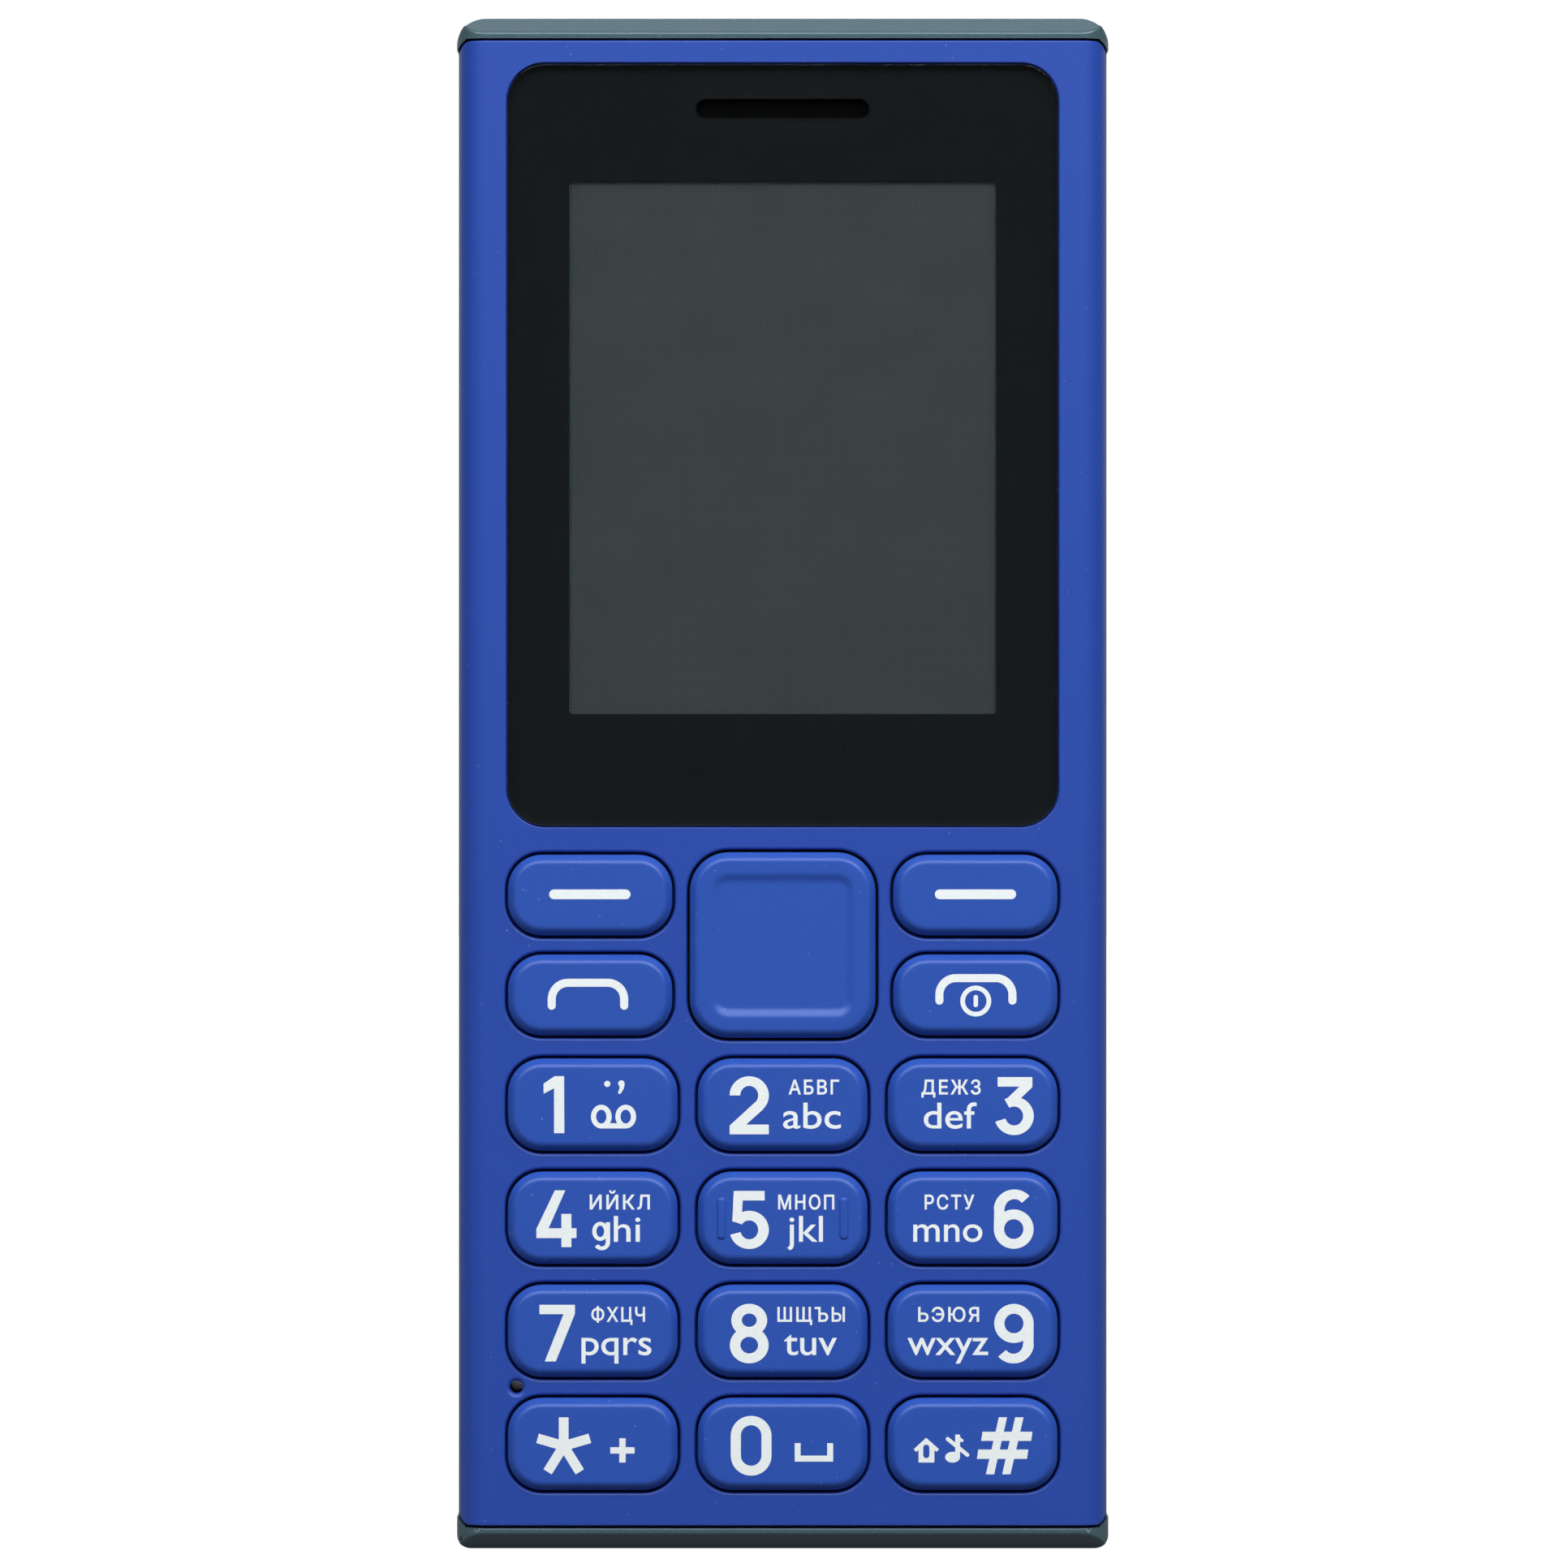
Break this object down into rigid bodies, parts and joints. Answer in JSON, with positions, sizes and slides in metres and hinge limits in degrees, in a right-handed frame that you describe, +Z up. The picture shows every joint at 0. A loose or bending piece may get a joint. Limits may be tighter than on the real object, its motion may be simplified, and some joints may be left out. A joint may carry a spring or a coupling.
{
  "type": "feature phone",
  "caption": "Bar-shaped feature phone with a small display, a five-way key, call and soft keys, a number pad, a lift-off rear cover and a removable battery.",
  "frame": {"origin": "middle of the bottom end, on the surface the phone stands on", "axes": "+Z up the phone from its bottom end, -Y out of its front face, +X to the viewer's right"},
  "size_m": [0.049, 0.0142, 0.115],
  "materials": {
    "blue_paint": "satin painted polycarbonate",
    "key_paint": "satin painted polycarbonate",
    "grey_paint": "satin metallic paint on moulded plastic",
    "clear_lens": "polished acrylic, black printed border",
    "display_glass": "liquid crystal cell, switched off",
    "white_plastic": "moulded",
    "amber_film": "polyimide film",
    "silicone": "moulded silicone",
    "black_rubber": "moulded",
    "black_foam": "foam tape",
    "black_mesh": "woven dust mesh",
    "steel": "stamped sheet",
    "brass": "plated",
    "board_green": "solder-masked laminate",
    "black_plastic": "fine-textured moulding",
    "led_yellow": "encapsulated",
    "battery_wrap": "film-wrapped can"
  },
  "bodies": {
    "chassis": {"front_housing": "blue_paint", "display_lens": "clear_lens", "lens_tape": "black_foam", "earpiece_mesh": "black_mesh", "earpiece_speaker": "steel", "display_gasket": "black_foam", "display_panel": "display_glass", "display_backlight": "white_plastic", "display_flex": "amber_film", "keypad_mat": "silicone", "metal_domes": "steel", "main_board": "board_green", "shield_cans": "steel", "microphone": "steel", "microphone_boot": "black_rubber", "sim_sockets": "steel", "memory_card_socket": "steel", "battery_contacts": "brass", "headset_jack": "black_plastic", "charging_socket": "steel", "charging_tongue": "black_plastic", "torch_light": "led_yellow", "torch_lens": "clear_lens", "loudspeaker": "black_plastic", "loudspeaker_mesh": "black_mesh", "motor_base": "steel", "motor_can": "steel", "antenna": "brass", "mid_frame": "black_plastic", "housing_screws": "steel", "battery": "battery_wrap"},
    "motor_rotor": {"motor_rotor": "brass"},
    "rear_cover": {"rear_cover": "grey_paint", "cover_top_cap": "grey_paint", "cover_corners": "grey_paint"},
    "nav_key": {"nav_key": "key_paint"},
    "nav_pad": {"nav_pad": "silicone"},
    "nav_plunger": {"nav_plunger": "silicone"},
    "key_star": {"key_star": "key_paint"},
    "key_0": {"key_0": "key_paint"},
    "key_hash": {"key_hash": "key_paint"},
    "key_7": {"key_7": "key_paint"},
    "key_8": {"key_8": "key_paint"},
    "key_9": {"key_9": "key_paint"},
    "key_4": {"key_4": "key_paint"},
    "key_5": {"key_5": "key_paint"},
    "key_6": {"key_6": "key_paint"},
    "key_1": {"key_1": "key_paint"},
    "key_2": {"key_2": "key_paint"},
    "key_3": {"key_3": "key_paint"},
    "call_key": {"call_key": "key_paint"},
    "end_key": {"end_key": "key_paint"},
    "soft_key_left": {"soft_key_left": "key_paint"},
    "soft_key_right": {"soft_key_right": "key_paint"}
  },
  "joints": [
    {"name": "cover_removal", "type": "slide", "parent": "chassis", "child": "rear_cover", "axis": [0, 1, 0], "range_m": [0, 0.03]},
    {"name": "key_star_press", "type": "slide", "parent": "chassis", "child": "key_star", "axis": [0, 1, 0], "range_m": [0, 0.0003], "stiffness_N_per_m": 2500, "springref_m": -0.0003},
    {"name": "key_0_press", "type": "slide", "parent": "chassis", "child": "key_0", "axis": [0, 1, 0], "range_m": [0, 0.0003], "stiffness_N_per_m": 2500, "springref_m": -0.0003},
    {"name": "key_hash_press", "type": "slide", "parent": "chassis", "child": "key_hash", "axis": [0, 1, 0], "range_m": [0, 0.0003], "stiffness_N_per_m": 2500, "springref_m": -0.0003},
    {"name": "key_7_press", "type": "slide", "parent": "chassis", "child": "key_7", "axis": [0, 1, 0], "range_m": [0, 0.0003], "stiffness_N_per_m": 2500, "springref_m": -0.0003},
    {"name": "key_8_press", "type": "slide", "parent": "chassis", "child": "key_8", "axis": [0, 1, 0], "range_m": [0, 0.0003], "stiffness_N_per_m": 2500, "springref_m": -0.0003},
    {"name": "key_9_press", "type": "slide", "parent": "chassis", "child": "key_9", "axis": [0, 1, 0], "range_m": [0, 0.0003], "stiffness_N_per_m": 2500, "springref_m": -0.0003},
    {"name": "key_4_press", "type": "slide", "parent": "chassis", "child": "key_4", "axis": [0, 1, 0], "range_m": [0, 0.0003], "stiffness_N_per_m": 2500, "springref_m": -0.0003},
    {"name": "key_5_press", "type": "slide", "parent": "chassis", "child": "key_5", "axis": [0, 1, 0], "range_m": [0, 0.0003], "stiffness_N_per_m": 2500, "springref_m": -0.0003},
    {"name": "key_6_press", "type": "slide", "parent": "chassis", "child": "key_6", "axis": [0, 1, 0], "range_m": [0, 0.0003], "stiffness_N_per_m": 2500, "springref_m": -0.0003},
    {"name": "key_1_press", "type": "slide", "parent": "chassis", "child": "key_1", "axis": [0, 1, 0], "range_m": [0, 0.0003], "stiffness_N_per_m": 2500, "springref_m": -0.0003},
    {"name": "key_2_press", "type": "slide", "parent": "chassis", "child": "key_2", "axis": [0, 1, 0], "range_m": [0, 0.0003], "stiffness_N_per_m": 2500, "springref_m": -0.0003},
    {"name": "key_3_press", "type": "slide", "parent": "chassis", "child": "key_3", "axis": [0, 1, 0], "range_m": [0, 0.0003], "stiffness_N_per_m": 2500, "springref_m": -0.0003},
    {"name": "call_key_press", "type": "slide", "parent": "chassis", "child": "call_key", "axis": [0, 1, 0], "range_m": [0, 0.0003], "stiffness_N_per_m": 2500, "springref_m": -0.0003},
    {"name": "end_key_press", "type": "slide", "parent": "chassis", "child": "end_key", "axis": [0, 1, 0], "range_m": [0, 0.0003], "stiffness_N_per_m": 2500, "springref_m": -0.0003},
    {"name": "soft_key_left_press", "type": "slide", "parent": "chassis", "child": "soft_key_left", "axis": [0, 1, 0], "range_m": [0, 0.0003], "stiffness_N_per_m": 2500, "springref_m": -0.0003},
    {"name": "soft_key_right_press", "type": "slide", "parent": "chassis", "child": "soft_key_right", "axis": [0, 1, 0], "range_m": [0, 0.0003], "stiffness_N_per_m": 2500, "springref_m": -0.0003},
    {"name": "nav_press", "type": "slide", "parent": "chassis", "child": "nav_plunger", "axis": [0, 1, 0], "range_m": [0, 0.0003], "stiffness_N_per_m": 2500, "springref_m": -0.0003},
    {"name": "nav_up_down", "type": "hinge", "parent": "nav_plunger", "child": "nav_pad", "pos_m": [0, -0.00318, 0.04538], "axis": [1, 0, 0], "range_deg": [-1.5, 1.5], "stiffness_Nm_per_rad": 0.18},
    {"name": "nav_left_right", "type": "hinge", "parent": "nav_pad", "child": "nav_key", "pos_m": [0, -0.00363, 0.04538], "axis": [0, 0, 1], "range_deg": [-1.5, 1.5], "stiffness_Nm_per_rad": 0.18},
    {"name": "motor_spin", "type": "hinge", "parent": "chassis", "child": "motor_rotor", "pos_m": [0.009, 0.00438, 0.09113], "axis": [0, 1, 0], "continuous": true}
  ]
}
